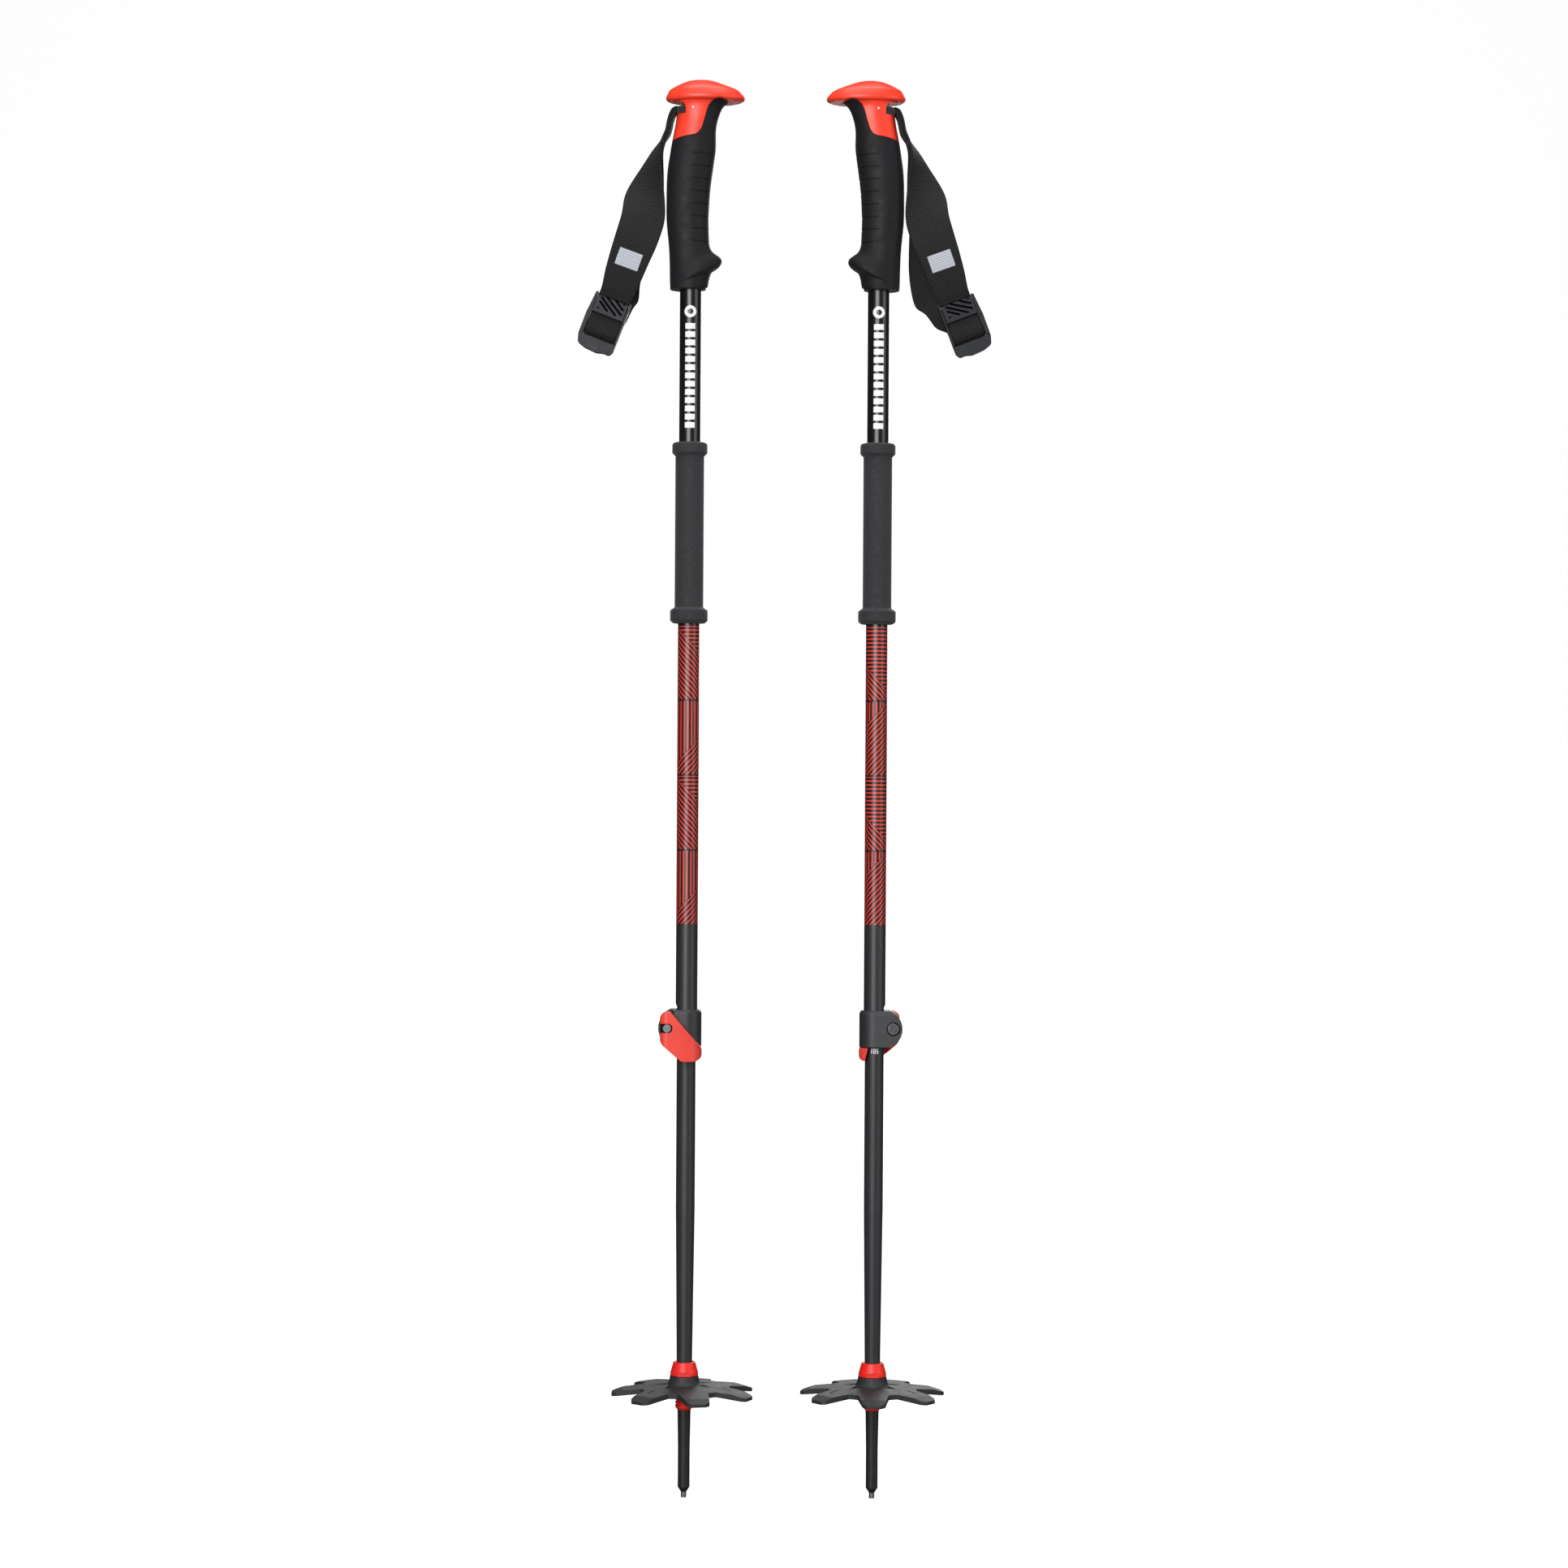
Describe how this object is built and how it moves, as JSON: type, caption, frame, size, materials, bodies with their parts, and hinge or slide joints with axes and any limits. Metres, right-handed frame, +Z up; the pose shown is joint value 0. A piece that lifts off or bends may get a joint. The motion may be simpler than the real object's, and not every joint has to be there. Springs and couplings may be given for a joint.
{
  "type": "touring pole pair",
  "caption": "Adjustable two-section touring poles with lever lock, hooked pommel grip, foam sleeve, wrist strap and snow basket.",
  "frame": {"origin": "on the ground plane, midway between the two tips", "axes": "+Z up along both shafts; +X from the left pole to the right one; -Y is the side that the buckles face"},
  "size_m": [0.3048, 0.107, 1.0473],
  "materials": {
    "grip_rubber": "matt charcoal rubber with a fine moulded grain",
    "cap_plastic": "satin coral-red moulded plastic",
    "pin_metal": "plain metal",
    "webbing": "black ribbed webbing",
    "upper_tube": "gloss black above the foam, dark with red line work below",
    "foam": "closed-cell foam, matt charcoal",
    "clamp_plastic": "black reinforced nylon",
    "lever_plastic": "satin coral-red moulded plastic",
    "nut_metal": "zinc-plated steel",
    "screw_metal": "black oxide steel",
    "lower_tube": "satin black anodised",
    "bush_plastic": "plain moulded plastic",
    "ferrule_plastic": "satin orange-red moulded plastic",
    "basket_plastic": "charcoal flexible plastic with a fine grain",
    "tip_plastic": "black reinforced nylon",
    "carbide": "ground grey carbide",
    "buckle_plastic": "dark blue-grey acetal"
  },
  "bodies": {
    "left_upper": {"left_grip_body": "grip_rubber", "left_grip_cap": "cap_plastic", "left_strap_pin": "pin_metal", "left_strap_anchor": "webbing", "left_upper_tube": "upper_tube", "left_foam_sleeve": "foam", "left_lock_clamp": "clamp_plastic", "left_lock_nut": "nut_metal"},
    "left_lower": {"left_lower_tube": "lower_tube", "left_guide_bush": "bush_plastic", "left_ferrule": "ferrule_plastic", "left_basket": "basket_plastic", "left_tip_body": "tip_plastic", "left_tip_insert": "carbide"},
    "left_lever": {"left_lock_lever": "lever_plastic"},
    "left_screw": {"left_tension_screw": "screw_metal"},
    "left_strap": {"left_strap_band": "webbing", "left_buckle_frame": "buckle_plastic", "left_buckle_pin": "pin_metal"},
    "left_cam": {"left_buckle_cam": "buckle_plastic"},
    "right_upper": {"right_grip_body": "grip_rubber", "right_grip_cap": "cap_plastic", "right_strap_pin": "pin_metal", "right_strap_anchor": "webbing", "right_upper_tube": "upper_tube", "right_foam_sleeve": "foam", "right_lock_clamp": "clamp_plastic", "right_lock_nut": "nut_metal"},
    "right_lower": {"right_lower_tube": "lower_tube", "right_guide_bush": "bush_plastic", "right_ferrule": "ferrule_plastic", "right_basket": "basket_plastic", "right_tip_body": "tip_plastic", "right_tip_insert": "carbide"},
    "right_lever": {"right_lock_lever": "lever_plastic"},
    "right_screw": {"right_tension_screw": "screw_metal"},
    "right_strap": {"right_strap_band": "webbing", "right_buckle_frame": "buckle_plastic", "right_buckle_pin": "pin_metal"},
    "right_cam": {"right_buckle_cam": "buckle_plastic"}
  },
  "joints": [
    {"name": "left_telescope", "type": "slide", "parent": "left_upper", "child": "left_lower", "axis": [0, 0, -1], "range_m": [0, 0.5]},
    {"name": "left_lever_open", "type": "hinge", "parent": "left_upper", "child": "left_lever", "pos_m": [-0.0833, -0.0134, 0.3473], "axis": [0, 0, -1], "range_deg": [0, 130]},
    {"name": "left_screw_turn", "type": "hinge", "parent": "left_upper", "child": "left_screw", "pos_m": [-0.0833, 0, 0.3473], "axis": [0, 1, 0], "range_deg": [-360, 360]},
    {"name": "left_strap_swing", "type": "hinge", "parent": "left_upper", "child": "left_strap", "pos_m": [-0.0827, 0, 1.0234], "axis": [0, 1, 0], "range_deg": [0, 60]},
    {"name": "left_cam_open", "type": "hinge", "parent": "left_strap", "child": "left_cam", "pos_m": [-0.12664, -0.0084, 0.88229], "axis": [-0.9336, 0, 0.3584], "range_deg": [0, 50]},
    {"name": "right_telescope", "type": "slide", "parent": "right_upper", "child": "right_lower", "axis": [0, 0, -1], "range_m": [0, 0.5]},
    {"name": "right_lever_open", "type": "hinge", "parent": "right_upper", "child": "right_lever", "pos_m": [0.0833, 0.0134, 0.3473], "axis": [0, 0, -1], "range_deg": [0, 130]},
    {"name": "right_screw_turn", "type": "hinge", "parent": "right_upper", "child": "right_screw", "pos_m": [0.0833, 0, 0.3473], "axis": [0, 1, 0], "range_deg": [-360, 360]},
    {"name": "right_strap_swing", "type": "hinge", "parent": "right_upper", "child": "right_strap", "pos_m": [0.0827, 0, 1.0234], "axis": [0, -1, 0], "range_deg": [0, 60]},
    {"name": "right_cam_open", "type": "hinge", "parent": "right_strap", "child": "right_cam", "pos_m": [0.12664, -0.0084, 0.88229], "axis": [-0.9336, 0, -0.3584], "range_deg": [0, 50]},
    {"name": "pair_spacing", "type": "slide", "parent": "left_upper", "child": "right_upper", "axis": [1, 0, 0], "range_m": [0, 0.3]}
  ]
}
